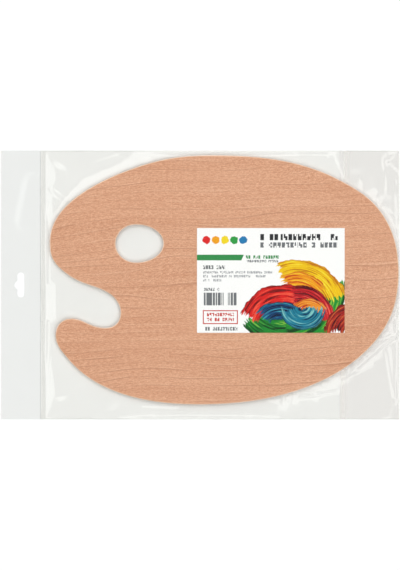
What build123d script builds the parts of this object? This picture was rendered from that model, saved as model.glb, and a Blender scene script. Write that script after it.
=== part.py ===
# An oval mixing palette of three-ply beech, with its insert card, in a clear bag that hangs from a slot.
# Millimetres, +Z up. The origin is the middle of the bag's outline, on the surface the bag lies on.
# +X runs from the header to the bag's open end, and the palette's face looks up.
import os
from math import hypot

from build123d import *

os.makedirs("parts", exist_ok=True)

# Palette
palette_length = 350.0
palette_width = 250.0
face_ply = 0.9
core_ply = 1.2
thumb_length = 48.0
thumb_width = 38.0
thumb_blunt_end = 20.5      # from the hole's widest place to its blunt end
thumb_from_left = 90.0      # palette's left end to the middle of the hole
thumb_above_middle = 36.5

# Insert card, A6
card_length = 148.0
card_width = 105.0
card_stock = 0.3
card_from_mouth = 55.0
card_above_middle = 4.6

# Bag
film = 0.10
weld_gap = 0.20             # fused film between the two skins of a weld
header_depth = 40.0
header_weld_width = 5.0
side_weld_width = 1.5
shoulder_run = 3.6          # how far the front film takes to rise from its welds
slot_length = 25.0
slot_width = 7.0
slot_bump_radius = 4.5
slot_bump_rise = 2.9        # how far the bump stands out of the slot's side

# Flap at the open end
flap_length = 60.0
glue_width = 4.5
glue_thickness = 0.04
liner_width = 6.5
liner_thickness = 0.06
glue_from_flap_edge = 3.2

# Room for the palette in the bag
palette_from_mouth = 0.75
palette_from_weld = 4.25
palette_from_upper_side = 4.9
palette_from_lower_side = 15.1

# Clearances
palette_running_gap = 0.10  # palette over the glue's liner when the flap is folded out
card_gap = 0.05
film_slack = 0.85           # front film over the card
fold_gap = 0.10             # between the back film and the flap folded under it
flap_root_gap = 0.05        # flap's edge to the fold line

# Heights, from the surface up
liner_bottom = 0.0
glue_bottom = liner_bottom + liner_thickness
flap_bottom = glue_bottom + glue_thickness
back_bottom = flap_bottom + film + fold_gap
back_top = back_bottom + film
flange_bottom = back_top + weld_gap
flange_top = flange_bottom + film
rear_bottom = back_top + glue_thickness + liner_thickness + palette_running_gap
core_bottom = rear_bottom + face_ply
face_bottom = core_bottom + core_ply
card_bottom = face_bottom + face_ply + card_gap
pouch_top = card_bottom + card_stock + film_slack
fold_height = (flap_bottom + back_top) / 2

# Places along the bag and across it
bag_width = palette_from_upper_side + palette_width + palette_from_lower_side
pouch_length = palette_from_weld + palette_length + palette_from_mouth
bag_length = header_depth + header_weld_width + pouch_length
header_end = -bag_length / 2
mouth = bag_length / 2
weld_start = header_end + header_depth
pouch_start = weld_start + header_weld_width
pouch_side = bag_width / 2 - side_weld_width
palette_x = mouth - palette_from_mouth - palette_length / 2
palette_y = (palette_from_lower_side - palette_from_upper_side) / 2
palette_left = palette_x - palette_length / 2
slot_x = header_end + header_depth / 2

# The front film's shoulder: how far it runs in for each millimetre up, and its wall measured level
shoulder_slope = shoulder_run / (pouch_top + film - flange_bottom)
shoulder_wall = film * hypot(1, shoulder_slope)

# The palette's big curve, from the upper horn over the top, round the end and back to the lower
# horn, as shares of its half length and half width.
oval = [
    (-1.000, 0.275), (-0.962, 0.494), (-0.798, 0.712), (-0.565, 0.873), (-0.306, 0.976),
    (-0.014, 1.000), (0.290, 0.968), (0.578, 0.857), (0.710, 0.765), (0.826, 0.656),
    (0.967, 0.365), (1.000, 0.100), (0.958, -0.281), (0.817, -0.566), (0.582, -0.795),
    (0.267, -0.945), (-0.134, -1.000), (-0.478, -0.956), (-0.741, -0.817), (-0.830, -0.728),
    (-0.907, -0.616), (-0.966, -0.467),
]

# The finger notch, from the lower horn round its blind end to the upper horn: how far in from the
# palette's left end, and how far above its middle line.
notch = [
    (10.5, -43.1), (23.4, -38.8), (39.5, -44.3), (54.6, -48.2), (65.8, -45.1), (71.1, -33.0),
    (63.7, -16.9), (50.6, -9.0), (30.9, -1.9), (12.4, 9.7), (3.3, 20.2),
]


# The palette's face with its notch and thumb hole. Each ply is this shape, one on another.
half_length, half_width = palette_length / 2, palette_width / 2
curve = [(palette_x + x * half_length, palette_y + y * half_width) for x, y in oval]
notch_side = [(palette_left + x, palette_y + y) for x, y in notch]
hole_x = palette_left + thumb_from_left - thumb_length / 2 + thumb_blunt_end
hole_y = palette_y + thumb_above_middle

with BuildSketch() as palette_face:
    with BuildLine():
        Spline(*curve, *notch_side, periodic=True)
    make_face()
    with BuildLine():
        hole = (hole_x, hole_y)
        EllipticalCenterArc(hole, thumb_blunt_end, thumb_width / 2, 90, arc_size=180)
        EllipticalCenterArc(hole, thumb_length - thumb_blunt_end, thumb_width / 2, 270, arc_size=180)
    make_face(mode=Mode.SUBTRACT)


def rectangle_between(x_low, x_high, y_low, y_high):
    """A rectangle from its four sides, drawn in the sketch that is open."""
    with Locations(((x_low + x_high) / 2, (y_low + y_high) / 2)):
        Rectangle(x_high - x_low, y_high - y_low)


def inset_pouch(inset, mode=Mode.ADD):
    """The pouch between its welds, drawn smaller on three sides and full at the mouth."""
    side = pouch_side - inset
    with Locations(((pouch_start + inset + mouth) / 2, 0)):
        Rectangle(mouth - pouch_start - inset, 2 * side, mode=mode)


def finish_piece(piece, name):
    """Label one piece and write its file."""
    piece.part.label = name
    export_step(piece.part, f"parts/{name}.step")


# ---- the palette's three plies ----
with BuildPart() as rear_veneer:
    with BuildSketch(Plane.XY.offset(rear_bottom)):
        add(palette_face.sketch)
    extrude(amount=face_ply)

with BuildPart() as core_veneer:
    with BuildSketch(Plane.XY.offset(core_bottom)):
        add(palette_face.sketch)
    extrude(amount=core_ply)

with BuildPart() as face_veneer:
    with BuildSketch(Plane.XY.offset(face_bottom)):
        add(palette_face.sketch)
    extrude(amount=face_ply)

# ---- the insert card ----
card_right = mouth - card_from_mouth
with BuildPart() as insert_card:
    with BuildSketch(Plane.XY.offset(card_bottom)):
        with Locations((card_right - card_length / 2, card_above_middle)):
            Rectangle(card_length, card_width)
    extrude(amount=card_stock)

# ---- the bag's films ----
with BuildPart() as bag_back_film:
    with BuildSketch(Plane.XY.offset(back_bottom)):
        rectangle_between(weld_start, mouth, -bag_width / 2, bag_width / 2)
    extrude(amount=film)

with BuildPart() as bag_front_film:
    # the raised part: up from the welds on three sides, open at the mouth
    with BuildSketch(Plane.XY.offset(flange_bottom)):
        inset_pouch(0)
    with BuildSketch(Plane.XY.offset(pouch_top + film)):
        inset_pouch(shoulder_run)
    loft()
    with BuildSketch(Plane.XY.offset(flange_bottom)):
        inset_pouch(shoulder_wall)
    with BuildSketch(Plane.XY.offset(pouch_top)):
        inset_pouch(shoulder_wall + shoulder_slope * (pouch_top - flange_bottom))
    loft(mode=Mode.SUBTRACT)
    # the flat margins over the welds
    with BuildSketch(Plane.XY.offset(flange_bottom)):
        rectangle_between(weld_start, mouth, -bag_width / 2, bag_width / 2)
        inset_pouch(shoulder_wall, Mode.SUBTRACT)
    extrude(amount=film)

# ---- the header and the welds ----
with BuildPart() as header_strip:
    with BuildSketch(Plane.XY.offset(back_bottom)):
        rectangle_between(header_end, weld_start, -bag_width / 2, bag_width / 2)
        with Locations((slot_x, 0)):
            SlotOverall(slot_length, slot_width, rotation=90, mode=Mode.SUBTRACT)
        with Locations((slot_x - slot_width / 2 - slot_bump_rise + slot_bump_radius, 0)):
            Circle(slot_bump_radius, mode=Mode.SUBTRACT)
    extrude(amount=flange_top - back_bottom)

with BuildPart() as header_weld:
    with BuildSketch(Plane.XY.offset(back_top)):
        rectangle_between(weld_start, pouch_start, -bag_width / 2, bag_width / 2)
    extrude(amount=weld_gap)

with BuildPart() as upper_side_weld:
    with BuildSketch(Plane.XY.offset(back_top)):
        rectangle_between(pouch_start, mouth, pouch_side, bag_width / 2)
    extrude(amount=weld_gap)

with BuildPart() as lower_side_weld:
    with BuildSketch(Plane.XY.offset(back_top)):
        rectangle_between(pouch_start, mouth, -bag_width / 2, -pouch_side)
    extrude(amount=weld_gap)

# ---- the flap, folded back under the bag ----
flap_edge = mouth - flap_length
glue_start = flap_edge + glue_from_flap_edge
liner_start = glue_start - (liner_width - glue_width) / 2

with BuildPart() as closing_flap:
    with BuildSketch(Plane.XY.offset(flap_bottom)):
        rectangle_between(flap_edge, mouth - flap_root_gap, -bag_width / 2, bag_width / 2)
    extrude(amount=film)

with BuildPart() as adhesive_strip:
    with BuildSketch(Plane.XY.offset(glue_bottom)):
        rectangle_between(glue_start, glue_start + glue_width, -bag_width / 2, bag_width / 2)
    extrude(amount=glue_thickness)

with BuildPart() as strip_liner:
    with BuildSketch(Plane.XY.offset(liner_bottom)):
        rectangle_between(liner_start, liner_start + liner_width, -bag_width / 2, bag_width / 2)
    extrude(amount=liner_thickness)

pieces = {
    "rear_veneer": rear_veneer,
    "core_veneer": core_veneer,
    "face_veneer": face_veneer,
    "insert_card": insert_card,
    "bag_back_film": bag_back_film,
    "bag_front_film": bag_front_film,
    "header_strip": header_strip,
    "header_weld": header_weld,
    "upper_side_weld": upper_side_weld,
    "lower_side_weld": lower_side_weld,
    "closing_flap": closing_flap,
    "adhesive_strip": adhesive_strip,
    "strip_liner": strip_liner,
}
for name, piece in pieces.items():
    finish_piece(piece, name)

print(f"fold line at x {mouth:.2f}, z {fold_height:.3f}")
print(f"palette from z {rear_bottom:.2f} to {face_bottom + face_ply:.2f}, pouch top {pouch_top:.2f}")
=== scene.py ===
from math import cos, pi, radians, sin

import bmesh
import bpy
import numpy as np
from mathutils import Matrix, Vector, geometry


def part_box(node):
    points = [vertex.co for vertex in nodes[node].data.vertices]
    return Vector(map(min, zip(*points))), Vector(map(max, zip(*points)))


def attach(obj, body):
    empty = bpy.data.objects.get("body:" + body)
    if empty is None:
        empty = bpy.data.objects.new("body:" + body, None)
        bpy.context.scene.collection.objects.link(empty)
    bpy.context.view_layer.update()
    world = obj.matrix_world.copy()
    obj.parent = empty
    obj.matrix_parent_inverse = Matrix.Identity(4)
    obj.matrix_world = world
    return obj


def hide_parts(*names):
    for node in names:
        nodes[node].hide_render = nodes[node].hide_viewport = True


# a mixing palette with its printed card, in a clear bag that lies flat. Sizes are in millimetres: +x runs
# to the bag's open end and +z comes out of the palette's face
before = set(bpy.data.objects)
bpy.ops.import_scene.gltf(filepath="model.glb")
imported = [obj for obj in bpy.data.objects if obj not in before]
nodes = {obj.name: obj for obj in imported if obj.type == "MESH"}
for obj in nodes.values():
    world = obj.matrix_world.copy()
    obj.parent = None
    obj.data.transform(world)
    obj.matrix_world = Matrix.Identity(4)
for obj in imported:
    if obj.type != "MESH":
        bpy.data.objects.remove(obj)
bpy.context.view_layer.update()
mm = 0.001                  # one millimetre in metres
print("frame loaded:", len(nodes), "nodes")


# meshes from arrays

def meshFrom(name, points, faces, crease=50):
    # points in millimetres and faces as rows of corner numbers; edges sharper than crease stay sharp
    mesh = bpy.data.meshes.new(name)
    mesh.from_pydata(points * mm, [], faces)
    mesh.validate()
    mesh.shade_smooth()
    mesh.set_sharp_from_angle(angle=radians(crease))
    made = bpy.data.objects.new(name, mesh)
    bpy.context.scene.collection.objects.link(made)
    return made


def closedSkin(name, upper, under, around=False):
    # two grids of points of the same shape, one over the other, joined along their edges into one solid.
    # The way along the rows crossed with the way along the columns points up; with around, the last row
    # joins the first
    rows, columns = upper.shape[:2]
    total = rows * columns
    index = np.arange(total).reshape(rows, columns)
    if around:
        index = np.vstack((index, index[:1]))
    quads = np.stack((index[:-1, :-1], index[1:, :-1], index[1:, 1:], index[:-1, 1:]), -1).reshape(-1, 4)
    if around:
        rims = [(index[:-1, 0], index[1:, 0]), (index[1:, -1], index[:-1, -1])]
    else:
        loop = np.concatenate((index[:-1, 0], index[-1, :-1], index[:0:-1, -1], index[0, :0:-1]))
        rims = [(loop, np.roll(loop, -1))]
    walls = [np.stack((after, here, here + total, after + total), -1) for here, after in rims]
    points = np.vstack((upper.reshape(-1, 3), under.reshape(-1, 3)))
    return meshFrom(name, points, np.vstack((quads, quads[:, ::-1] + total, *walls)))


def filmSkin(name, x, y, z, thickness):
    # a film of even thickness: z is its middle, and each side stands half a thickness off along the
    # normal, which is the cross product of the grid's two directions
    along = np.stack([np.gradient(part, axis=0) for part in (x, y, z)], -1)
    across = np.stack([np.gradient(part, axis=1) for part in (x, y, z)], -1)
    normal = np.cross(along, across)
    normal /= np.linalg.norm(normal, axis=-1, keepdims=True)
    middle = np.stack((x, y, z), -1)
    half = normal * thickness / 2
    return closedSkin(name, middle + half, middle - half)


def patch(xLow, xHigh, yLow, yHigh, step):
    # an even grid over a rectangle, with a point on every corner
    xs = np.linspace(xLow, xHigh, int(round((xHigh - xLow) / step)) + 1)
    ys = np.linspace(yLow, yHigh, int(round((yHigh - yLow) / step)) + 1)
    return np.meshgrid(xs, ys, indexing="ij")


def boxMm(name):
    # a node's lowest and highest corners, in millimetres
    low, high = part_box(name)
    return np.array(low) / mm, np.array(high) / mm


def smooth(value):
    # an even step from 0 to 1 with flat ends
    t = np.clip(value, 0, 1)
    return t * t * (3 - 2 * t)


def ripple(x, y, lengths, height, seed):
    # a calm uneven surface: a sum of plane waves, each with its own length, heading and start
    draw = np.random.default_rng(seed)
    total = np.zeros_like(x)
    for length in lengths:
        heading = draw.uniform(0, 2 * pi)
        start = draw.uniform(0, 2 * pi)
        total += np.sin((x * cos(heading) + y * sin(heading)) * 2 * pi / length + start)
    return total * height / len(lengths)


def finishPiece(made, body, slot, material, *stands):
    # body by name; slot is not used; stands are the nodes that the piece is shown for
    made.data.materials.append(material)
    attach(made, body)
    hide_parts(*stands)
    return made


# nodes for materials

def fill(tree, socket, value):
    # an input takes another node's output or a plain value
    if isinstance(value, bpy.types.NodeSocket):
        tree.links.new(value, socket)
    else:
        socket.default_value = value


def addNode(tree, kind, values=None, **settings):
    # one node; values fills its inputs by name, with numbers or with other nodes' outputs
    made = tree.nodes.new("ShaderNode" + kind)
    for key, setting in settings.items():
        setattr(made, key, setting)
    for key, value in (values or {}).items():
        fill(tree, made.inputs[key], value)
    return made


def calc(tree, operation, *numbers):
    # one step of arithmetic on numbers or on other nodes' outputs
    made = tree.nodes.new("ShaderNodeMath")
    made.operation = operation
    for socket, number in zip(made.inputs, numbers):
        fill(tree, socket, number)
    return made.outputs[0]


def times(tree, *numbers):
    made = numbers[0]
    for number in numbers[1:]:
        made = calc(tree, "MULTIPLY", made, number)
    return made


def between(tree, value, low, high):
    # 1 where the value lies between the two, and 0 elsewhere
    return times(tree, calc(tree, "GREATER_THAN", value, low), calc(tree, "LESS_THAN", value, high))


def remap(tree, value, low, high, toLow=0.0, toHigh=1.0, kind="SMOOTHSTEP"):
    # carries the range from low to high over to the range from toLow to toHigh, and holds it beyond
    names = ("Value", "From Min", "From Max", "To Min", "To Max")
    return addNode(tree, "MapRange", dict(zip(names, (value, low, high, toLow, toHigh))),
                   interpolation_type=kind).outputs[0]


def mixColour(tree, share, below, above):
    made = tree.nodes.new("ShaderNodeMix")
    made.data_type = "RGBA"
    for place, value in ((0, share), (6, below), (7, above)):     # the node's factor and two colours
        fill(tree, made.inputs[place], value)
    return made.outputs[2]


def vector(tree, x, y, z=0.0):
    return addNode(tree, "CombineXYZ", {"X": x, "Y": y, "Z": z}).outputs[0]


def split(tree, point):
    return addNode(tree, "SeparateXYZ", {0: point}).outputs


def chance(tree, x, y, z):
    # a random number from 0 to 1, one for each point
    return addNode(tree, "TexWhiteNoise", {"Vector": vector(tree, x, y, z)}).outputs[0]


def noise(tree, point, scale, detail, rough=0.5):
    return addNode(tree, "TexNoise", {"Vector": point, "Scale": scale, "Detail": detail,
                                      "Roughness": rough}).outputs["Fac"]


def newGroup(name, inputs, outputs):
    # inputs and outputs are {kind: labels}; gives the group and its two ends
    group = bpy.data.node_groups.new(name, "ShaderNodeTree")
    for side, sockets in (("INPUT", inputs), ("OUTPUT", outputs)):
        for kind, labels in sockets.items():
            for label in labels:
                group.interface.new_socket(label, in_out=side, socket_type="NodeSocket" + kind)
    return group, group.nodes.new("NodeGroupInput").outputs, group.nodes.new("NodeGroupOutput").inputs


def setInputs(shader, values):
    for key, value in values.items():
        shader.inputs[key].default_value = value


def useGroup(tree, group, values):
    made = tree.nodes.new("ShaderNodeGroup")
    made.node_tree = group
    for key, value in values.items():
        fill(tree, made.inputs[key], value)
    return made.outputs


def newMaterial(name):
    # a material with an empty Principled shader, and its own points in millimetres
    material = bpy.data.materials.new(name)
    material.use_nodes = True
    tree = material.node_tree
    tree.nodes.clear()
    shader = addNode(tree, "BsdfPrincipled")
    ending = addNode(tree, "OutputMaterial")
    tree.links.new(shader.outputs[0], ending.inputs["Surface"])
    place = addNode(tree, "TexCoord").outputs["Object"]
    points = addNode(tree, "Mapping", {"Vector": place, "Scale": (1 / mm,) * 3}).outputs[0]
    return material, tree, shader, points


def bump(tree, shader, height, distance, strength):
    made = addNode(tree, "Bump", {"Height": height, "Distance": distance * mm, "Strength": strength})
    tree.links.new(made.outputs[0], shader.inputs["Normal"])


# beech

beech = {
    "light": (0.818, 0.468, 0.304, 1),
    "dark": (0.562, 0.248, 0.131, 1),
    "late": (0.440, 0.180, 0.092, 1),
    "pale": (0.900, 0.590, 0.410, 1),
    # rim is a painted highlight: a pale colour for the light that the rounded, sanded rim catches
    "rim": (0.960, 0.740, 0.570, 1),
    "coreLight": (0.560, 0.330, 0.190, 1),
    "coreDark": (0.400, 0.210, 0.110, 1),
    "rise": 0.05,           # how steeply the grain climbs to the right
    "wander": 42.0,         # how far it wanders
    "growth": 8.5,          # one year's growth as it shows on the face
    "lateAt": (0.80, 0.97),     # where in a year its dark line begins, and where it is darkest
    "paleAt": (0.12, 0.02),     # where its pale line ends, and where it is palest
    "lateShare": 0.52,      # how strong the two lines are
    "paleShare": 0.38,
    "rimShare": 0.9,        # and of the painted highlight along the rounded rim, a pale colour standing in for the light that its sanded edge catches
    "rough": (0.62, 0.52),  # of the dark wood and of the light
    "relief": (0.12, 0.6),  # height of the grain, and how strongly it shows
    # marks along the grain: how much of its length x keeps, scale, detail, roughness and weight
    "marks": {"streak": (0.030, 0.42, 2.0, 0.6, 0.18), "broad": (0.12, 0.035, 2.0, 0.6, 0.16),
              "grain": (0.62, 1.15, 0.0, 0.5, 0.36), "dash": (0.34, 0.85, 0.0, 0.5, 0.30)},
    "markRange": (0.335, 0.665),    # the part of their sum that runs from the dark wood to the light
}


def makeBeechGroup():
    # grain lines run along x, and their height across the board is bent by a slow noise. That height
    # divided by one year's growth counts the years: its fraction runs from 0, where a thin pale line
    # lies, to 1, where a thin dark line ends the year. Noises stretched along the line, but only a
    # little, give the short crisp marks between
    group, given, out = newGroup("beechFigure", {"Vector": ["Point"], "Float": ["Rise", "Wander", "Growth"]},
                                 {"Float": ["Band", "Late", "Pale", "Height"]})
    parts = split(group, given["Point"])
    x, y, z = parts[0], parts[1], parts[2]
    slow = noise(group, vector(group, times(group, x, 0.40), y, 3.7), 0.011, 1.0)
    bend = times(group, calc(group, "SUBTRACT", slow, 0.5), given["Wander"])
    climb = times(group, x, given["Rise"])
    line = calc(group, "SUBTRACT", calc(group, "ADD", y, bend), climb)
    depth = times(group, z, 0.5)

    def grainNoise(share, third, scale, detail, rough=0.5):
        # noise on the grain line, with x shortened to a share so that the marks are long
        place = vector(group, times(group, x, share), line, third)
        return noise(group, place, scale, detail, rough)

    band = 0.0
    for name, (share, scale, detail, rough, weight) in beech["marks"].items():
        # the dashes are read at another depth, so that they don't follow the grain's own marks
        third = calc(group, "ADD", depth, 9.0) if name == "dash" else depth
        band = calc(group, "MULTIPLY_ADD", grainNoise(share, third, scale, detail, rough), weight, band)
    uneven = grainNoise(0.16, depth, 0.055, 1.0)
    years = calc(group, "ADD", calc(group, "DIVIDE", line, given["Growth"]),
                 times(group, calc(group, "SUBTRACT", uneven, 0.5), 1.5))
    phase = calc(group, "FRACT", years)
    draw = chance(group, calc(group, "FLOOR", years), 1.0, 4.0)
    patchy = grainNoise(0.5, 21.0, 0.05, 1.0)
    # each line rises to its strongest place and falls to the turn of the year, and some years have less
    late = times(group, remap(group, phase, *beech["lateAt"]), remap(group, phase, 1.0, beech["lateAt"][1]),
                 remap(group, draw, 0.0, 0.7, 0.3, 1.0), remap(group, patchy, 0.32, 0.52))
    pale = times(group, remap(group, phase, *beech["paleAt"]), remap(group, phase, 0.0, beech["paleAt"][1]),
                 remap(group, patchy, 0.38, 0.60))
    group.links.new(remap(group, band, *beech["markRange"], 0.0, 1.0, "LINEAR"), out["Band"])
    group.links.new(late, out["Late"])
    group.links.new(pale, out["Pale"])
    group.links.new(calc(group, "SUBTRACT", band, times(group, late, 0.2)), out["Height"])
    return group


beechGroup = makeBeechGroup()


def makeBeech(name, light, dark, turned=False):
    # wood between two colours, with the grain along x, or along y if it is turned
    material, tree, shader, points = newMaterial(name)
    if turned:
        points = addNode(tree, "Mapping", {"Vector": points, "Rotation": (0, 0, pi / 2)}).outputs[0]
    figure = useGroup(tree, beechGroup, {"Point": points, "Rise": beech["rise"], "Wander": beech["wander"],
                                         "Growth": beech["growth"]})
    # the rim attribute carries the painted highlight along the rounded rim, and mixes the pale rim colour in
    # by it
    rim = addNode(tree, "Attribute", attribute_name="rim").outputs["Fac"]
    colour = mixColour(tree, figure["Band"], dark, light)
    for tint, share in (("late", figure["Late"]), ("pale", figure["Pale"]), ("rim", rim)):
        colour = mixColour(tree, times(tree, share, beech[tint + "Share"]), colour, beech[tint])
    tree.links.new(colour, shader.inputs["Base Color"])
    rough = remap(tree, figure["Band"], 0.0, 1.0, *beech["rough"], "LINEAR")
    tree.links.new(rough, shader.inputs["Roughness"])
    bump(tree, shader, figure["Height"], *beech["relief"])
    return material


veneerWood = makeBeech("beechVeneer", beech["light"], beech["dark"])
coreWood = makeBeech("beechCore", beech["coreLight"], beech["coreDark"], turned=True)


# the palette's plies

ply = {
    "step": 1.1,            # along the rim
    "ease": 0.90,           # rounding of the two faces' rims
    "innerEase": 0.04,      # and of the rims where two plies meet
    "easeSteps": 6,
    "coreInset": 0.06,      # the core is sanded a little deeper
    "crease": 60,           # edges sharper than this stay sharp, in degrees
    "sameSpot": 0.002,      # corners this near are one corner
    "sameHeight": 0.01,     # and corners this near the top belong to the upper face
}


def rimLoops(name):
    # the loops round a ply's upper face, outermost first, each as ordered points without repeats
    copy = bmesh.new()
    copy.from_mesh(nodes[name].data)
    bmesh.ops.remove_doubles(copy, verts=copy.verts, dist=ply["sameSpot"] * mm)
    top = max(v.co.z for v in copy.verts)
    near = ply["sameHeight"] * mm
    caps = {f for f in copy.faces if all(abs(v.co.z - top) < near for v in f.verts)}
    rim = [e for e in copy.edges if sum(f in caps for f in e.link_faces) == 1]
    after = {}
    for edge in rim:
        cap = next(f for f in edge.link_faces if f in caps)
        corner = next(c for c in cap.loops if c.edge == edge)
        after[corner.vert.index] = corner.link_loop_next.vert.index
    copy.verts.ensure_lookup_table()
    loops = []
    while after:
        start = next(iter(after))
        walk = []
        while start in after:
            walk.append(start)
            start = after.pop(start)
        loops.append(np.array([copy.verts[i].co.xy for i in walk]) / mm)
    copy.free()
    return sorted(loops, key=lambda loop: -np.ptp(loop[:, 0]))


def evenLoop(loop, step):
    # the same closed line with its points a step apart, by length along it
    closed = np.vstack((loop, loop[:1]))
    run = np.concatenate(([0], np.cumsum(np.linalg.norm(np.diff(closed, axis=0), axis=1))))
    at = np.linspace(0, run[-1], int(run[-1] / step) + 1)[:-1]
    return np.stack([np.interp(at, run, closed[:, k]) for k in (0, 1)], -1)


def inward(loop):
    # unit normals pointing into the wood, a quarter turn left of the way the loop runs
    way = np.roll(loop, -1, 0) - np.roll(loop, 1, 0)
    way /= np.linalg.norm(way, axis=1, keepdims=True)
    return np.stack((-way[:, 1], way[:, 0]), -1)


outline = [evenLoop(loop, ply["step"]) for loop in rimLoops("face_veneer")]


def plySolid(name, low, high, easeTop, easeLow, inset, slot, material):
    # each rim is a profile carried round the outline: a quarter circle at each face and a straight wall.
    # A quarter circle of radius r leaves the wall at height r and meets the face at inset r
    turn = np.linspace(0, pi / 2, ply["easeSteps"])
    profile = [(inset + easeLow * (1 - sin(a)), low + easeLow * (1 - cos(a)), 0.0) for a in turn]
    # the upper quarter circle also carries a share of painted highlight, strongest half way round it
    profile += [(inset + easeTop * (1 - cos(a)), high - easeTop * (1 - sin(a)), sin(2 * a)) for a in turn]
    points, faces, rimSheen, ends = [], [], [], []
    first = 0
    for loop in outline:
        count = len(loop)
        normal = inward(loop)
        for depth, height, sheen in profile:
            points.append(np.column_stack((loop + normal * depth, np.full(count, height))))
            rimSheen.append(np.full(count, sheen))
        ring = np.arange(count)
        after = np.roll(ring, -1)
        for k in range(len(profile) - 1):
            here = first + k * count
            quads = (here + ring, here + after, here + count + after, here + count + ring)
            faces += np.stack(quads, -1).tolist()
        ends.append((first, first + (len(profile) - 1) * count, count))
        first += count * len(profile)
    points = np.vstack(points)
    # the lower face and then the upper one, filled between their loops and turned outwards
    for side in (0, 1):
        rings = [np.arange(end[side], end[side] + end[2]) for end in ends]
        order = np.concatenate(rings)
        flat = [[Vector((*points[i, :2], 0)) for i in ring] for ring in rings]
        for three in geometry.tessellate_polygon(flat):
            a, b, c = (order[i] for i in three)
            turning = np.cross(points[b] - points[a], points[c] - points[a])[2]
            up = (turning > 0) == (side == 1)
            faces.append([a, b, c] if up else [a, c, b])
    made = meshFrom(name, points, faces, ply["crease"])
    # the rim attribute holds that share of painted highlight at each point
    rim = made.data.attributes.new("rim", "FLOAT", "POINT")
    rim.data.foreach_set("value", np.concatenate(rimSheen).astype(np.float32))
    return finishPiece(made, "palette", slot, material, name.replace("Ply", "_veneer"))


plies = [("rearPly", "beech_veneer", veneerWood), ("corePly", "beech_core", coreWood),
         ("facePly", "beech_veneer", veneerWood)]
for name, slot, material in plies:
    low, high = boxMm(name.replace("Ply", "_veneer"))
    easeTop = ply["ease"] if name == "facePly" else ply["innerEase"]
    easeLow = ply["ease"] if name == "rearPly" else ply["innerEase"]
    inset = ply["coreInset"] if name == "corePly" else 0.0
    plySolid(name, low[2], high[2], easeTop, easeLow, inset, slot, material)
print("plies made")


# the printed card

card = {
    "stock": (0.97, 0.97, 0.965, 1),
    "fibre": (0.82, 0.81, 0.78, 1),
    "ink": (0.03, 0.03, 0.035, 1),
    "grey": (0.16, 0.17, 0.18, 1),
    "soft": (0.33, 0.34, 0.36, 1),
    "green": (0.035, 0.270, 0.075, 1),
    "red": (0.560, 0.045, 0.035, 1),
    "dots": [(0.72, 0.02, 0.02), (0.86, 0.36, 0.01), (0.88, 0.68, 0.02), (0.03, 0.33, 0.06),
             (0.02, 0.20, 0.45)],
    "dotFirst": 9.5,        # middle of the first daub, from the card's left
    "dotPitch": 9.2,
    "dotUp": 93.0,
    "dotRadius": 3.9,
    "dotUneven": 2.2,       # how much their edges wander
    "band": (-1, 47, 72.6, 78.3, 0.45),     # left, right, foot, top and slant
    "bars": (6.8, 40.2, 27.5, 40.2),
    "barPitch": 0.72,
    "barShare": 0.55,       # how many of the stripes are inked
    "boxOut": (5.8, 41, 8.7, 22.6),
    "boxIn": (6.8, 40, 9.7, 21.6),
}


def makeLineGroup():
    # a row of made-up marks: a rectangle cut into cells by floor(), where a random number per cell
    # leaves some out, and a slower one leaves the gaps between words
    group, given, out = newGroup(
        "markLine",
        {"Vector": ["Point"], "Float": ["Left", "Right", "Foot", "Tall", "Pitch", "Seed", "Ink"]},
        {"Float": ["Mask"]})
    parts = split(group, given["Point"])
    above = calc(group, "SUBTRACT", parts[1], given["Foot"])
    inside = times(group, between(group, parts[0], given["Left"], given["Right"]),
                   between(group, above, 0.0, given["Tall"]))
    column = calc(group, "DIVIDE", calc(group, "SUBTRACT", parts[0], given["Left"]), given["Pitch"])
    third = calc(group, "FLOOR", times(group, column, 3.0))
    height = calc(group, "DIVIDE", times(group, above, 3.0), given["Tall"])
    mark = chance(group, third, calc(group, "FLOOR", height), given["Seed"])
    word = chance(group, calc(group, "FLOOR", column), 5.0, given["Seed"])
    spacing = calc(group, "LESS_THAN", calc(group, "FRACT", column), 0.78)
    inked = calc(group, "LESS_THAN", mark, given["Ink"])
    kept = calc(group, "LESS_THAN", word, 0.90)
    group.links.new(times(group, inside, inked, spacing, kept), out["Mask"])
    return group


paint = {
    "wander": 0.9,          # how far a stroke's sides wander, by its half width
    "ragged": 22.0,         # and how far its two ends do
    "bristle": (0.035, 5.5),    # how fast the bristle marks change along the stroke and across it
    "deepTo": (0.40, 0.49),     # the marks' range from the deep colour to the body's
    "shineFrom": (0.56, 0.64),  # and from the body's to the bright one
    "rimFrom": 0.74,        # where the sides darken, and by how much
    "rimShade": 0.7,
}


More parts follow.
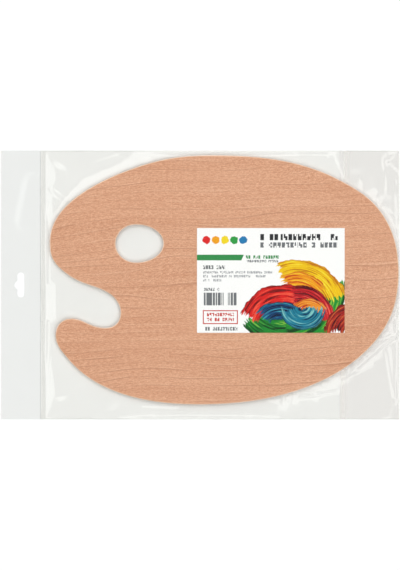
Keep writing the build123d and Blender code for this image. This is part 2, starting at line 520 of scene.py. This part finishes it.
def makeStrokeGroup():
    # a broad brush stroke bent round a centre. r is the distance from the centre and the angle is taken
    # from the stroke's own heading; noise stretched along the arc gives bristle marks and ragged ends
    group, given, out = newGroup(
        "brushStroke",
        {"Vector": ["Point", "Centre"], "Float": ["Radius", "Half Width", "Heading", "Half Arc", "Seed"],
         "Color": ["Deep", "Body", "Shine"]},
        {"Color": ["Colour"], "Float": ["Mask"]})
    away = addNode(group, "VectorMath", {0: given["Point"], 1: given["Centre"]}, operation="SUBTRACT")
    back = times(group, given["Heading"], -1.0)
    turned = addNode(group, "VectorRotate", {"Vector": away.outputs[0], "Angle": back},
                     rotation_type="Z_AXIS")
    parts = split(group, turned.outputs[0])
    angle = calc(group, "ARCTAN2", parts[1], parts[0])
    radius = calc(group, "SQRT", calc(group, "ADD", calc(group, "POWER", parts[0], 2.0),
                                      calc(group, "POWER", parts[1], 2.0)))
    along = times(group, angle, given["Radius"])
    across = calc(group, "DIVIDE", calc(group, "SUBTRACT", radius, given["Radius"]), given["Half Width"])
    seed = times(group, given["Seed"], 7.3)
    edge = noise(group, vector(group, times(group, along, 0.10), across, seed), 1.0, 3.0)
    shift = times(group, calc(group, "SUBTRACT", edge, 0.5), paint["wander"])
    wavy = calc(group, "ADD", across, shift)
    hairs = [times(group, place, rate) for place, rate in zip((along, across), paint["bristle"])]
    bristle = noise(group, vector(group, *hairs, seed), 1.0, 3.0, 0.6)
    reach = times(group, given["Half Arc"], given["Radius"])
    shift = times(group, calc(group, "SUBTRACT", bristle, 0.6), paint["ragged"])
    inArc = calc(group, "LESS_THAN", calc(group, "ABSOLUTE", along), calc(group, "ADD", reach, shift))
    inWidth = calc(group, "LESS_THAN", calc(group, "ABSOLUTE", wavy), 1.0)
    group.links.new(times(group, inArc, inWidth), out["Mask"])
    colour = mixColour(group, remap(group, bristle, *paint["deepTo"]), given["Deep"], given["Body"])
    colour = mixColour(group, remap(group, bristle, *paint["shineFrom"]), colour, given["Shine"])
    rimShade = remap(group, calc(group, "ABSOLUTE", wavy), paint["rimFrom"], 1.0, 0.0, paint["rimShade"])
    colour = mixColour(group, rimShade, colour, given["Deep"])
    group.links.new(colour, out["Colour"])
    return group


lineGroup = makeLineGroup()
strokeGroup = makeStrokeGroup()

# rows of marks: left, right, foot, height, pitch, colour name, share of ink
printRows = [
    (63.5, 141.0, 92.8, 6.2, 4.7, "ink", 0.84), (63.5, 141.0, 85.4, 5.2, 4.3, "grey", 0.80),
    (49.0, 82.0, 74.2, 3.4, 2.5, "green", 0.80), (49.5, 81.5, 70.6, 2.4, 1.7, "grey", 0.72),
    (6.2, 28.0, 63.8, 3.8, 2.7, "grey", 0.80), (6.2, 75.5, 59.4, 2.4, 1.7, "soft", 0.74),
    (6.2, 69.0, 55.5, 2.4, 1.7, "soft", 0.74), (6.2, 25.0, 51.5, 2.4, 1.7, "soft", 0.74),
    (7.0, 22.5, 42.0, 3.0, 2.2, "grey", 0.78), (10.0, 37.0, 16.6, 3.4, 2.6, "red", 0.80),
    (10.0, 37.0, 11.6, 3.4, 2.6, "red", 0.80), (5.8, 41.0, 2.2, 3.6, 2.5, "grey", 0.80),
]

# strokes of paint, the lowest first: centre, radius, half width, heading, half arc, three colours
paintStrokes = [
    ((86, 42), 38.0, 13.0, -106, 38, (0.004, 0.050, 0.010), (0.014, 0.240, 0.030), (0.200, 0.500, 0.060)),
    ((90, 42), 44.0, 15.0, -42, 54, (0.004, 0.060, 0.010), (0.014, 0.270, 0.030), (0.240, 0.520, 0.050)),
    ((100, 22), 41.0, 10.5, 66, 50, (0.520, 0.150, 0.004), (0.860, 0.540, 0.006), (0.920, 0.760, 0.050)),
    ((100, 24), 29.0, 7.5, 76, 44, (0.560, 0.050, 0.006), (0.860, 0.330, 0.008), (0.900, 0.640, 0.040)),
    ((86, 4), 35.0, 10.0, 106, 58, (0.160, 0.003, 0.004), (0.700, 0.014, 0.012), (0.880, 0.090, 0.050)),
    ((102, 12), 27.0, 8.5, 52, 56, (0.090, 0.003, 0.006), (0.560, 0.012, 0.020), (0.860, 0.140, 0.090)),
    ((112, 14), 15.0, 5.5, 88, 62, (0.480, 0.020, 0.006), (0.860, 0.300, 0.020), (0.920, 0.660, 0.200)),
    ((84, 0), 23.0, 9.0, 90, 52, (0.002, 0.006, 0.030), (0.006, 0.070, 0.200), (0.050, 0.360, 0.440)),
    ((106, 27), 14.0, 10.0, -88, 82, (0.002, 0.018, 0.070), (0.010, 0.200, 0.300), (0.220, 0.560, 0.540)),
    ((160, -2), 23.0, 10.0, 138, 42, (0.060, 0.004, 0.004), (0.400, 0.020, 0.014), (0.720, 0.170, 0.040)),
]


def makeCardPrint():
    # the design is laid out in millimetres from the card's lower left corner
    material, tree, shader, points = newMaterial("printedCard")
    low, high = boxMm("insert_card")
    spot = addNode(tree, "Mapping", {"Vector": points, "Location": (-low[0], -low[1], 0)}).outputs[0]
    parts = split(tree, spot)
    fibre = noise(tree, points, 0.8, 4.0, 0.6)
    colour = mixColour(tree, remap(tree, fibre, 0.3, 0.7, 0.0, 0.05), card["stock"], card["fibre"])

    def inRectangle(left, right, foot, top, slant=0.0):
        # slant moves the right side in by that much for each millimetre down
        edge = calc(tree, "ADD", right - slant * top, times(tree, parts[1], slant))
        return times(tree, between(tree, parts[0], left, edge), between(tree, parts[1], foot, top))

    for order, (centre, radius, half, heading, arc, deep, body, shine) in enumerate(paintStrokes):
        stroke = useGroup(tree, strokeGroup, {
            "Point": spot, "Centre": (*centre, 0), "Radius": radius, "Half Width": half,
            "Heading": radians(heading), "Half Arc": radians(arc), "Seed": order + 1.0,
            "Deep": (*deep, 1), "Body": (*body, 1), "Shine": (*shine, 1)})
        colour = mixColour(tree, stroke["Mask"], colour, stroke["Colour"])
    for order, (left, right, foot, tall, pitch, ink, share) in enumerate(printRows):
        mark = useGroup(tree, lineGroup, {
            "Point": spot, "Left": left, "Right": right, "Foot": foot, "Tall": tall, "Pitch": pitch,
            "Seed": order + 3.0, "Ink": share})
        colour = mixColour(tree, mark["Mask"], colour, card[ink])
    colour = mixColour(tree, inRectangle(*card["band"]), colour, card["green"])
    # a row of round daubs: the distance from each middle, made uneven by a noise about its mean
    uneven = times(tree, noise(tree, spot, 0.45, 1.0), card["dotUneven"])
    flat = vector(tree, parts[0], parts[1])
    for order, daub in enumerate(card["dots"]):
        centre = (card["dotFirst"] + order * card["dotPitch"], card["dotUp"], 0)
        gap = addNode(tree, "VectorMath", {0: flat, 1: centre}, operation="DISTANCE").outputs["Value"]
        reach = calc(tree, "ADD", gap, uneven)
        mask = calc(tree, "LESS_THAN", reach, card["dotRadius"] + card["dotUneven"] / 2)
        colour = mixColour(tree, mask, colour, (*daub, 1))
    # even stripes over a block, where a random number per stripe sets which are inked
    count = calc(tree, "FLOOR", calc(tree, "DIVIDE", parts[0], card["barPitch"]))
    inked = calc(tree, "LESS_THAN", chance(tree, count, 1.0, 2.0), card["barShare"])
    colour = mixColour(tree, times(tree, inRectangle(*card["bars"]), inked), colour, card["grey"])
    border = calc(tree, "SUBTRACT", inRectangle(*card["boxOut"]), inRectangle(*card["boxIn"]))
    colour = mixColour(tree, border, colour, card["red"])
    tree.links.new(colour, shader.inputs["Base Color"])
    setInputs(shader, {"Roughness": 0.42, "Specular IOR Level": 0.2})
    bump(tree, shader, fibre, 0.03, 0.4)
    return material


cardNode = nodes["insert_card"]
cardNode.data.materials.clear()
cardNode.data.materials.append(makeCardPrint())
print("card printed")


# clear film

film = {
    # tint, roughness, height of the scuffs, how much it bends light, and how much passes through
    "clearFilm": ((0.974, 0.974, 0.953, 1), 0.03, 0.03, 1.5, 1.0),
    "headerFilm": ((0.888, 0.896, 0.874, 1), 0.03, 0.008, 1.5, 1.0),
    "fusedFilm": ((0.975, 0.975, 0.965, 1), 0.10, 0.15, 1.5, 1.0),
    "flapFilm": ((0.985, 0.967, 0.969, 1), 0.03, 0.02, 1.28, 1.0),
    "glueFilm": ((0.99, 0.985, 0.98, 1), 0.05, 0.02, 1.15, 0.80),
    "linerFilm": ((0.99, 0.985, 0.98, 1), 0.03, 0.02, 1.20, 0.97),
}
# the painted shade line along the header strip's cut edge
cutShade = {
    "tint": (0.66, 0.66, 0.65, 1),
    "at": -159.8,           # its place along x, by the strip's right edge
    "soft": (-0.6, -0.1),   # where it begins and where it is full, from there
    "wander": 0.9,
}


def makeFilm(name, tint, rough, scuff, bend, through):
    # clear plastic, with a faint scuffed surface
    material, tree, shader, points = newMaterial(name)
    setInputs(shader, {"Base Color": tint, "Transmission Weight": through, "Roughness": rough, "IOR": bend})
    bump(tree, shader, noise(tree, points, 0.35, 1.0, 0.6), scuff, 0.5)
    return material


def paintCutShade(material):
    # a thin painted dark line along the strip's cut edge: painted shade that stands in for the light the
    # film's edge bends away
    tree = material.node_tree
    shader = tree.nodes["Principled BSDF"]
    parts = split(tree, tree.nodes["Mapping"].outputs[0])
    wave = noise(tree, vector(tree, 0.0, parts[1]), 0.10, 1.0)
    near = calc(tree, "ADD", parts[0], times(tree, wave, cutShade["wander"]))
    full = remap(tree, near, *(cutShade["at"] + step for step in cutShade["soft"]))
    colour = mixColour(tree, full, shader.inputs["Base Color"].default_value[:], cutShade["tint"])
    tree.links.new(colour, shader.inputs["Base Color"])


def asFilm(made):
    # a film casts no shadow and isn't met by light that bounces off a matt surface, so what is under it
    # is lit as if it were bare, and the film is met only by the rays that look at it
    made.visible_shadow = False
    made.visible_diffuse = False
    return made


clearFilm, headerFilm, fusedFilm, flapFilm, glueFilm, linerFilm = [
    makeFilm(name, *finish) for name, finish in film.items()]
paintCutShade(headerFilm)
print("film materials made")


# the bag's films

bag = {
    "thin": 0.09,           # film thickness, just inside the fixed one
    "rest": 0.06,           # film over what it lies on
    "margin": 0.05,         # its middle over the fixed one's underside, at the welds
    "lie": 0.12,            # and over the back film, where there is nothing under it
    "slack": 0.25,          # uneven height where the film lies free
    "slackWaves": (31, 44, 58, 83),
    "slackRun": 12,         # how far outside the rim it takes to lie free
    "restSlack": 0.05,      # and where it rests
    "restWaves": (27, 39, 66),
    "run": 25.0,            # how far out the film comes down from the palette's rim
    "runUneven": 0.10,
    "cardEdge": (0.8, 6),   # where the film leaves the card, and how long it takes to come down
    "pleatPitch": 13,       # pleats along the rim, by length at this radius
    "pleatRadius": 150,
    "pleatFade": (3, 15),   # how far outside the rim they are full, and how far they reach
    # where it is drawn tight: heading and spread in degrees, run, and the height of the pleats there
    "tight": [(146, 34, 11.0, 0.10), (-34, 26, 15.0, 0.55)],
    "sideRate": 0.95,       # how steeply the film can leave a side weld
    "headerRate": 0.74,     # and the header weld
    "puffRate": 0.29,       # how steeply it rises along the header weld, where there is air in the bag
    "puffWidth": 6.6,       # from the weld to the crest, and where it is wider: place, spread, more width
    "puffs": [(112, 14, 3.8), (12, 13, 2.6), (-12, 16, 3.0), (-38, 12, 2.0), (-106, 16, 3.2)],
    "puffWaves": (5.3, 8.1, 13),
    "puffUneven": 0.9,
    "puffFall": 18.0,       # how far beyond the crest it comes down
    "corner": (0.35, 22),   # the air's width in the bag's corners by its own, and how far in it is full
    "notchLow": -42.0,      # where the finger notch lets the film sag, and how fast that begins
    "notchHigh": 8.0,
    "notchEase": 8.0,
    "gridX": [(-140, 1.0), (-62, 2.1), (96, 1.6)],      # up to this x, and the step
    "gridY": -22,           # below this the grid is closer
    "foldFade": (2, 1.2),   # how far outside the rim the creases and the short folds reach full height
}
fan = {
    "turns": (-68, 34, 38),     # headings from the palette's middle, and how many folds
    "stray": 65,            # how far a fold can turn from about straight out, in degrees
    "long": (5, 15),
    "left": (2.0, 4.5),     # width of its left flank, its right one, and its height
    "right": (2.0, 5.5),
    "rise": (0.8, 1.7),
    "fade": 0.5,            # how much of the height is gone at its outer end
}

backLow, backHigh = boxMm("bag_back_film")
frontLow, frontHigh = boxMm("bag_front_film")
faceLow, faceHigh = boxMm("face_veneer")
cardLow, cardHigh = boxMm("insert_card")
weldLow, weldHigh = boxMm("header_weld")
sideLow, sideHigh = boxMm("upper_side_weld")
middle = (faceLow + faceHigh) / 2
hull = outline[0][geometry.convex_hull_2d([tuple(point) for point in outline[0]])]


def outsideDistance(x, y, starts):
    # how far each point lies outside a closed line, and below 0 inside it. The nearest of the line's
    # segments gives the distance, and the count of segments to the point's right gives the side
    ends = np.roll(starts, -1, 0)
    way = ends - starts
    length = (way ** 2).sum(1)
    result = np.empty_like(x)
    for row in range(len(x)):
        px = x[row][:, None]
        py = y[row][:, None]
        share = np.clip(((px - starts[:, 0]) * way[:, 0] + (py - starts[:, 1]) * way[:, 1]) / length, 0, 1)
        gap = np.hypot(px - starts[:, 0] - share * way[:, 0], py - starts[:, 1] - share * way[:, 1]).min(1)
        spans = (starts[:, 1] > py) != (ends[:, 1] > py)
        rise = np.where(way[:, 1] == 0, 1, way[:, 1])
        crossing = starts[:, 0] + (py - starts[:, 1]) / rise * way[:, 0] > px
        within = (spans & crossing).sum(1) % 2 == 1
        result[row] = np.where(within, -gap, gap)
    return result


def softMax(a, b, ease):
    # the larger of two heights, rounded where they cross: half their sum and a softened difference
    return (a + b + np.sqrt((a - b) ** 2 + ease ** 2)) / 2


def softMin(a, b, ease):
    # and the smaller of the two
    return -softMax(-a, -b, ease)


# creases in the front film: from and to, as distances in from the mouth and up from the middle,
# then the widths of the ridge's left and right flanks as one walks along it, and its height
creases = [
    ((2, -48), (55, -93), 3.0, 9.0, 1.2), ((2, -50), (30, -62), 6.0, 3.0, 1.2),
    ((4, -52), (70, -88), 2.0, 2.5, 0.7), ((12, -66), (5, -110), 5.0, 4.0, 1.5),
    ((14, -134), (6, -114), 4.0, 6.0, 0.8), ((12, 126), (2, 134), 7.0, 3.0, 1.2),
    ((10, 120), (2, 112), 3.0, 7.0, 1.3), ((16, 124), (4, 104), 2.0, 5.0, 0.8),
    ((14, 128), (15, 92), 1.8, 4.0, 0.6), ((99, 131), (74, 130), 3.5, 3.5, 1.2),
    ((66, 128), (58, 108), 2.0, 2.4, 0.6), ((3.5, -12), (4.0, -118), 2.2, 2.2, 0.8),
    ((42, -87), (70, -90), 3.0, 3.0, 1.1), ((16, -40), (6, -30), 3.0, 3.0, 0.9),
    ((25, -52), (12, -46), 3.0, 3.0, 1.0), ((9, 62), (3, 50), 2.5, 2.5, 0.8),
    ((16, 76), (6, 70), 3.0, 2.5, 0.8), ((5, 90), (3, 20), 1.6, 1.6, 0.5),
    ((303, 122), (282, 128), 5.0, 5.0, 1.0), ((335, 84), (350, 96), 4.0, 4.0, 1.1),
    ((256, -120.4), (222, -121.4), 2.4, 2.6, 0.65), ((100, -113), (62, -107), 2.5, 2.5, 1.1),
]
woodFold = ((14, -58), (17, -104), 2.5, 5.0, 0.35)      # a faint one across the wood, by x and y


def ridge(x, y, start, end, left, right, rise, fade=0.0):
    # a fold with two straight flanks: its height falls evenly with the distance from the line's middle,
    # over one width on the left of the line and another on its right, and by the share fade along it
    way = np.array(end) - np.array(start)
    fromX = x - start[0]
    fromY = y - start[1]
    share = np.clip((fromX * way[0] + fromY * way[1]) / (way @ way), 0, 1)
    gap = np.hypot(fromX - share * way[0], fromY - share * way[1])
    width = np.where(way[0] * fromY - way[1] * fromX > 0, left, right)
    return rise * (1 - fade * share) * np.maximum(1 - gap / width, 0)


def rimFall(away, heading):
    # how far the film has come down outside the rim, from 1 to 0, and how high its pleats stand. It
    # falls evenly over the run and eases out; where it is drawn tight the run is short
    run = np.full_like(away, bag["run"])
    pleat = np.zeros_like(away)
    for centre, spread, short, rise in bag["tight"]:
        turned = np.degrees(np.angle(np.exp(1j * (heading - radians(centre)))))
        near = np.exp(-np.abs(turned / spread) ** 3)
        run += (short - bag["run"]) * near
        pleat += rise * near
    run *= 1 + bag["runUneven"] * np.sin(heading * 23) + bag["runUneven"] * np.sin(heading * 57 + 2)
    t = np.maximum(away, 0) / run
    fall = (np.sqrt((1 - t) ** 2 + 0.02) + (1 - t)) / 2 / 1.005     # 1.005 makes it 1 at the rim
    return fall, pleat


def cardCover(x, y):
    # 1 over the card, falling to 0 with the distance outside its rectangle
    centre = (cardLow + cardHigh) / 2
    half = (cardHigh - cardLow) / 2
    pastX = np.maximum(np.abs(x - centre[0]) - half[0], 0)
    pastY = np.maximum(np.abs(y - centre[1]) - half[1], 0)
    start, run = bag["cardEdge"]
    return 1 - smooth((np.hypot(pastX, pastY) - start) / run)


def airWidth(fromWeld, toSide, y):
    # the air along the header weld: the distance from the weld up to a crest, and beyond the crest a
    # bell curve down. The crest lies farther out at each puff and nearer in the bag's corners
    width = np.full_like(y, bag["puffWidth"])
    for place, spread, more in bag["puffs"]:
        width += more * np.exp(-((y - place) / spread) ** 2)
    width += ripple(y, y, bag["puffWaves"], bag["puffUneven"], 8)
    least, full = bag["corner"]
    width *= least + (1 - least) * smooth(toSide / full)
    fall = bag["puffFall"] * (0.5 + 0.5 * smooth((toSide - 2) / 40))
    beyond = width * np.exp(-(np.maximum(fromWeld - width, 0) / fall) ** 2)
    return np.where(fromWeld < width, fromWeld, beyond)


def fanFolds():
    # short folds that fan out from the rim where the film is drawn round it
    draw = np.random.default_rng(17)
    around = np.degrees(np.arctan2(hull[:, 1] - middle[1], hull[:, 0] - middle[0]))
    folds = []
    for turn in np.linspace(*fan["turns"]):
        base = hull[np.argmin(np.abs(around - turn))]
        way = radians(turn * 0.8 - 8 + draw.uniform(-fan["stray"], fan["stray"]))
        out = np.array((cos(way), sin(way)))
        long, left, right, rise = [draw.uniform(*fan[size]) for size in ("long", "left", "right", "rise")]
        folds.append((base + 0.5 * out, base + long * out, left, right, rise, fan["fade"]))
    return folds


def frontHeight(x, y):
    # the film's middle height: it rests on the wood and card, comes down outside the rim, rises over
    # the air by the header weld, and is held down at the welds on three sides
    margin = frontLow[2] + bag["margin"]
    low = backHigh[2] + bag["lie"]
    top = faceHigh[2] + bag["rest"] + bag["thin"] / 2
    away = outsideDistance(x, y, hull[::2])
    heading = np.arctan2(y - middle[1], x - middle[0])
    fall, pleat = rimFall(away, heading)
    height = low + (top - low) * fall
    height += (cardHigh[2] + bag["rest"] + bag["thin"] / 2 - top) * cardCover(x, y)
    # slack where the film lies free, and a little where it rests
    free = smooth(away / bag["slackRun"])
    height += free * (bag["slack"] + ripple(x, y, bag["slackWaves"], bag["slack"], 4))
    height += (1 - free) * (bag["restSlack"] + ripple(x, y, bag["restWaves"], bag["restSlack"], 9))
    # pleats in the tight stretches: a triangle wave along the rim that fades outwards
    full, reach = bag["pleatFade"]
    wave = np.abs((heading * bag["pleatRadius"] / bag["pleatPitch"] + 0.8 * np.sin(heading * 9)) % 2 - 1)
    height += pleat * wave * smooth(away / full) * np.exp(-(np.maximum(away, 0) / reach) ** 2)
    fromWeld = x - weldHigh[0]
    toSide = sideLow[1] - np.abs(y)
    # over the finger notch the film sags to the slope of the air by the weld
    sag = smooth((bag["notchHigh"] - y) / bag["notchEase"]) * smooth((y - bag["notchLow"]) / bag["notchEase"])
    sagged = low + bag["puffRate"] * np.maximum(fromWeld, 0) + 5 * (1 - sag)
    air = low + bag["puffRate"] * airWidth(fromWeld, toSide, y)
    height = softMax(softMin(height, sagged, 0.2), air, 0.3)
    for (inA, upA), (inB, upB), left, right, rise in creases:
        fold = ridge(x, y, (frontHigh[0] - inA, upA), (frontHigh[0] - inB, upB), left, right, rise)
        height += fold * smooth(away / bag["foldFade"][0])
    for fold in fanFolds():
        height += ridge(x, y, *fold) * smooth(away / bag["foldFade"][1])
    height += ridge(x, y, *woodFold)
    # held at the welds
    hold = softMin(np.maximum(toSide, 0) * bag["sideRate"], np.maximum(fromWeld, 0) * bag["headerRate"], 0.15)
    height = np.where((toSide > 0) & (fromWeld > 0), softMin(height, margin + hold, 0.3), margin)
    return np.clip(height, margin - 0.02, frontHigh[2] - bag["thin"])


# the grid is closer along the header weld, and towards the mouth's lower corner, where the folds are
start = frontLow[0]
xs = []
for end, step in bag["gridX"]:
    xs.append(np.arange(start, end, step))
    start = end
xs = np.concatenate((*xs, np.linspace(start, frontHigh[0], int((frontHigh[0] - start) / 1.1))))
start = bag["gridY"]
ys = np.concatenate((np.arange(frontLow[1], start, 1.15), np.linspace(start, frontHigh[1], 82)))
x, y = np.meshgrid(xs, ys, indexing="ij")
frontFilm = filmSkin("frontFilm", x, y, frontHeight(x, y), bag["thin"])
asFilm(finishPiece(frontFilm, "bag", "clear_film", clearFilm, "bag_front_film"))
print("front film made:", len(frontFilm.data.polygons), "faces")

x, y = patch(backLow[0], backHigh[0], backLow[1], backHigh[1], 4.0)
z = (backLow[2] + backHigh[2]) / 2 + ripple(x, y, (47, 71, 96), 0.015, 21)
backFilm = filmSkin("backFilm", x, y, z, bag["thin"] * 0.7)
asFilm(finishPiece(backFilm, "bag", "clear_film", clearFilm, "bag_back_film"))


# header strip with its hanging slot

header = {
    "step": 1.6,            # along the outline
    "rings": 30,            # between the slot and the outline, closer by the slot
    "crowd": 1.4,           # how much closer
    "slotLong": 25.0,
    "slotWide": 7.0,
    "bumpRadius": 4.5,
    "bumpRise": 2.9,        # how far the bump stands out of the slot's side
    "fold": 2.2,            # height of the soft bend, its width, and its ends by the strip's right edge
    "foldWidth": 11.0,
    "foldEnds": ((-6, 112), (-18, 54)),
    "foldFade": (6, 14),    # how far it runs past its ends, and how long it takes to fade there
}


def headerStrip():
    # a sheet ruled between two closed lines: the slot's own edge and the strip's outline. Both are taken
    # at the same angles round the slot's middle, and the slot's edge is the farthest of its round parts
    low, high = boxMm("header_strip")
    centre = (low + high) / 2
    halfX, halfY = (high - low)[:2] / 2
    alongY, alongX = [np.linspace(-1, 1, int(2 * half / header["step"]) + 1)[:-1] for half in (halfY, halfX)]
    sideX = np.full(len(alongY), halfX)
    sideY = np.full(len(alongX), halfY)
    outX = np.concatenate((sideX, -halfX * alongX, -sideX, halfX * alongX))[::-1]
    outY = np.concatenate((halfY * alongY, sideY, -halfY * alongY, -sideY))[::-1]
    angle = np.arctan2(outY, outX)
    endRadius = header["slotWide"] / 2
    offset = header["slotLong"] / 2 - endRadius

    def circleReach(cx, cy, radius):
        # how far out a circle's edge lies at each angle, and 0 where the angle misses the circle
        along = cx * np.cos(angle) + cy * np.sin(angle)
        inside = along ** 2 - (cx ** 2 + cy ** 2 - radius ** 2)
        return np.where(inside > 0, along + np.sqrt(np.maximum(inside, 0)), 0)

    straight = endRadius / np.maximum(np.abs(np.cos(angle)), 1e-6)
    straight = np.where(np.abs(straight * np.sin(angle)) <= offset, straight, 0)
    bumpAt = -(endRadius + header["bumpRise"] - header["bumpRadius"])
    rounds = [(0, offset, endRadius), (0, -offset, endRadius), (bumpAt, 0, header["bumpRadius"])]
    reach = np.maximum.reduce([straight, *(circleReach(*circle) for circle in rounds)])
    share = np.linspace(0, 1, header["rings"])[None, :] ** header["crowd"]
    x = centre[0] + (reach * np.cos(angle))[:, None] * (1 - share) + outX[:, None] * share
    y = centre[1] + (reach * np.sin(angle))[:, None] * (1 - share) + outY[:, None] * share
    z = centre[2] + ripple(x, y, (38, 52, 90), 0.05, 33)
    # one soft bend, a bell curve across the line that it follows, fading at both ends
    start, end = [np.array((high[0] + fromEdge, up)) for fromEdge, up in header["foldEnds"]]
    long = np.linalg.norm(end - start)
    way = (end - start) / long
    along = (x - start[0]) * way[0] + (y - start[1]) * way[1]
    aside = (x - start[0]) * way[1] - (y - start[1]) * way[0]
    past, fade = header["foldFade"]
    ends = smooth((along + past) / fade) * smooth((long + past - along) / fade)
    z = z + header["fold"] * ends * np.exp(-(aside / header["foldWidth"]) ** 2)
    upper, under = [np.stack((x, y, z + side * bag["thin"] / 2), -1) for side in (1, -1)]
    return closedSkin("headerStrip", upper, under, around=True)


asFilm(finishPiece(headerStrip(), "bag", "header_film", headerFilm, "header_strip"))


# welds

weld = {
    "step": 1.5,
    "columns": 9,
    "waves": (19, 7.3),     # the slow and the quick wander of its edges
    "quick": 0.6,           # height of the quick one by the slow one's
    "inside": 0.015,        # how far its faces stay inside the fixed ones
    "edgeShare": 0.25,      # its thickness at the edges by the middle's
}


def weldBand(name, node, wander, alongX=False):
    # a narrow band with two parameters, along it and across it. Its edges wander by two sine waves, and
    # its faces bulge by a fourth power across it
    low, high = boxMm(node)
    long, wide = (0, 1) if alongX else (1, 0)
    along = np.linspace(low[long], high[long], int((high[long] - low[long]) / weld["step"]) + 1)
    s, t = np.meshgrid(along, np.linspace(0, 1, weld["columns"]), indexing="ij")
    starts = np.random.default_rng(len(name)).uniform(0, 2 * pi, 4)
    slow, quick = weld["waves"]
    edge = [(np.sin(s / slow + starts[k]) + weld["quick"] * np.sin(s / quick + starts[k + 2]))
            * wander / (1 + weld["quick"]) for k in (0, 1)]
    place = (low[wide] + wander + edge[0]) * (1 - t) + (high[wide] - wander + edge[1]) * t
    bulge = weld["edgeShare"] + (1 - weld["edgeShare"]) * (1 - (2 * t - 1) ** 4)
    half = (high[2] - low[2]) / 2 - weld["inside"]
    grids = []
    for sign in (1, -1):
        height = (low[2] + high[2]) / 2 + sign * half * bulge
        grid = np.stack((s, place, height) if alongX else (place, s, height), -1)
        grids.append(grid if alongX else grid.transpose(1, 0, 2))
    return asFilm(finishPiece(closedSkin(name, *grids), "bag", "weld", fusedFilm, node))


weldBand("headerWeld", "header_weld", 0.7)
weldBand("upperWeld", "upper_side_weld", 0.12, alongX=True)
weldBand("lowerWeld", "lower_side_weld", 0.12, alongX=True)
print("header and welds made")


# closing flap

flap = {
    "film": 0.08,           # thickness of its film, the glue and the liner
    "glue": 0.03,
    "liner": 0.05,
    "step": 4.0,
    "stripStep": 1.5,
    "askew": 1.9,           # how far the glue and liner lean: the upper end to the right
}


def flatFilm(name, node, slot, material, thin, step, askew=0.0):
    # a flat film with a calm ripple. askew moves the upper end right and the lower end left by that much
    low, high = boxMm(node)
    x, y = patch(low[0], high[0], low[1], high[1], step)
    x = x + askew * y / high[1]
    spare = (high[2] - low[2] - thin) / 2
    z = (low[2] + high[2]) / 2 + ripple(x, y, (33, 61), max(spare, 0), 5)
    return asFilm(finishPiece(filmSkin(name, x, y, z, thin), "flap", slot, material, node))


closingFlap = flatFilm("closingFlap", "closing_flap", "clear_film", flapFilm, flap["film"], flap["step"])
strip = (flap["stripStep"], flap["askew"])
flatFilm("glueStrip", "adhesive_strip", "glue", glueFilm, flap["glue"], *strip)
flatFilm("linerStrip", "strip_liner", "liner_film", linerFilm, flap["liner"], *strip)
print("flap made")


# floor, light and camera

studio = {
    "floor": 0.90,
    "ring": 1.340,          # brightness of the high ring of light round the object
    "bias": 0.06,           # how much brighter it is on the side that the light comes from
    "side": (-0.3, 0.9),    # that side, along x and y
    # the dark opening straight up, the dimmer walls below the ring and the pale wall behind everything:
    # brightness, and the angles from straight up where each begins and where it is full
    "bands": [(0.12, 29, 19), (0.16, 47, 57), (1.00, 82, 85)],
    # name, the way to it, width in degrees and power
    "lamps": [("key", (-0.30, 0.76, 0.58), 50, 1.27), ("fill", (0.55, -0.42, 0.72), 50, 0.96)],
    "lens": 100,
    "sensor": 36,
    "across": 0.402,        # what the frame's width takes in, metres
    "shape": 570 / 400,     # the frame's height by its width
}


def makeFloor():
    # a plain sheet of paper, a little under the object so that the two don't share a plane
    bpy.ops.mesh.primitive_grid_add(x_subdivisions=8, y_subdivisions=8, size=14, location=(0, 0, -0.0002))
    floor = bpy.context.object
    floor.name = "floor"
    material = bpy.data.materials.new("floorPaper")
    material.use_nodes = True
    shader = material.node_tree.nodes["Principled BSDF"]
    white = (studio["floor"],) * 3 + (1,)
    setInputs(shader, {"Base Color": white, "Roughness": 0.9, "Specular IOR Level": 0.1})
    floor.data.materials.append(material)


def makeLight():
    # the sky is dark straight up, bright in a ring round that, more so on one side, dim below the ring,
    # and pale again at the height of the floor
    scene = bpy.context.scene
    scene.world = bpy.data.worlds.new("tent")
    scene.world.use_nodes = True
    tree = scene.world.node_tree
    background = tree.nodes["Background"]
    parts = split(tree, addNode(tree, "TexCoord").outputs["Generated"])
    side = calc(tree, "ADD", *(times(tree, parts[k], studio["side"][k]) for k in (0, 1)))
    level = calc(tree, "MULTIPLY_ADD", side, studio["bias"] * studio["ring"], studio["ring"])
    for bright, bare, full in studio["bands"]:
        share = remap(tree, parts[2], cos(radians(bare)), cos(radians(full)))
        level = calc(tree, "ADD", times(tree, level, calc(tree, "SUBTRACT", 1.0, share)),
                     times(tree, share, bright))
    tree.links.new(level, background.inputs["Strength"])
    background.inputs["Color"].default_value = (0.985, 0.995, 1.0, 1)
    for name, toward, across, power in studio["lamps"]:
        data = bpy.data.lights.new(name, "SUN")
        data.energy = power
        data.angle = radians(across)
        lamp = bpy.data.objects.new(name, data)
        lamp.rotation_euler = Vector(toward).to_track_quat("Z", "Y").to_euler()
        # only the sky is mirrored in the films
        lamp.visible_glossy = False
        lamp.visible_transmission = False
        scene.collection.objects.link(lamp)


def makeCamera():
    # straight above the middle, at the height from which the lens takes in the whole frame
    data = bpy.data.cameras.new("camera")
    data.lens = studio["lens"]
    data.sensor_width = studio["sensor"]
    camera = bpy.data.objects.new("camera", data)
    camera.location = (0, 0, studio["lens"] * studio["across"] * studio["shape"] / studio["sensor"])
    bpy.context.scene.collection.objects.link(camera)
    bpy.context.scene.camera = camera


makeFloor()
makeLight()
makeCamera()
bpy.context.scene.view_settings.view_transform = "Standard"
print("stage made")
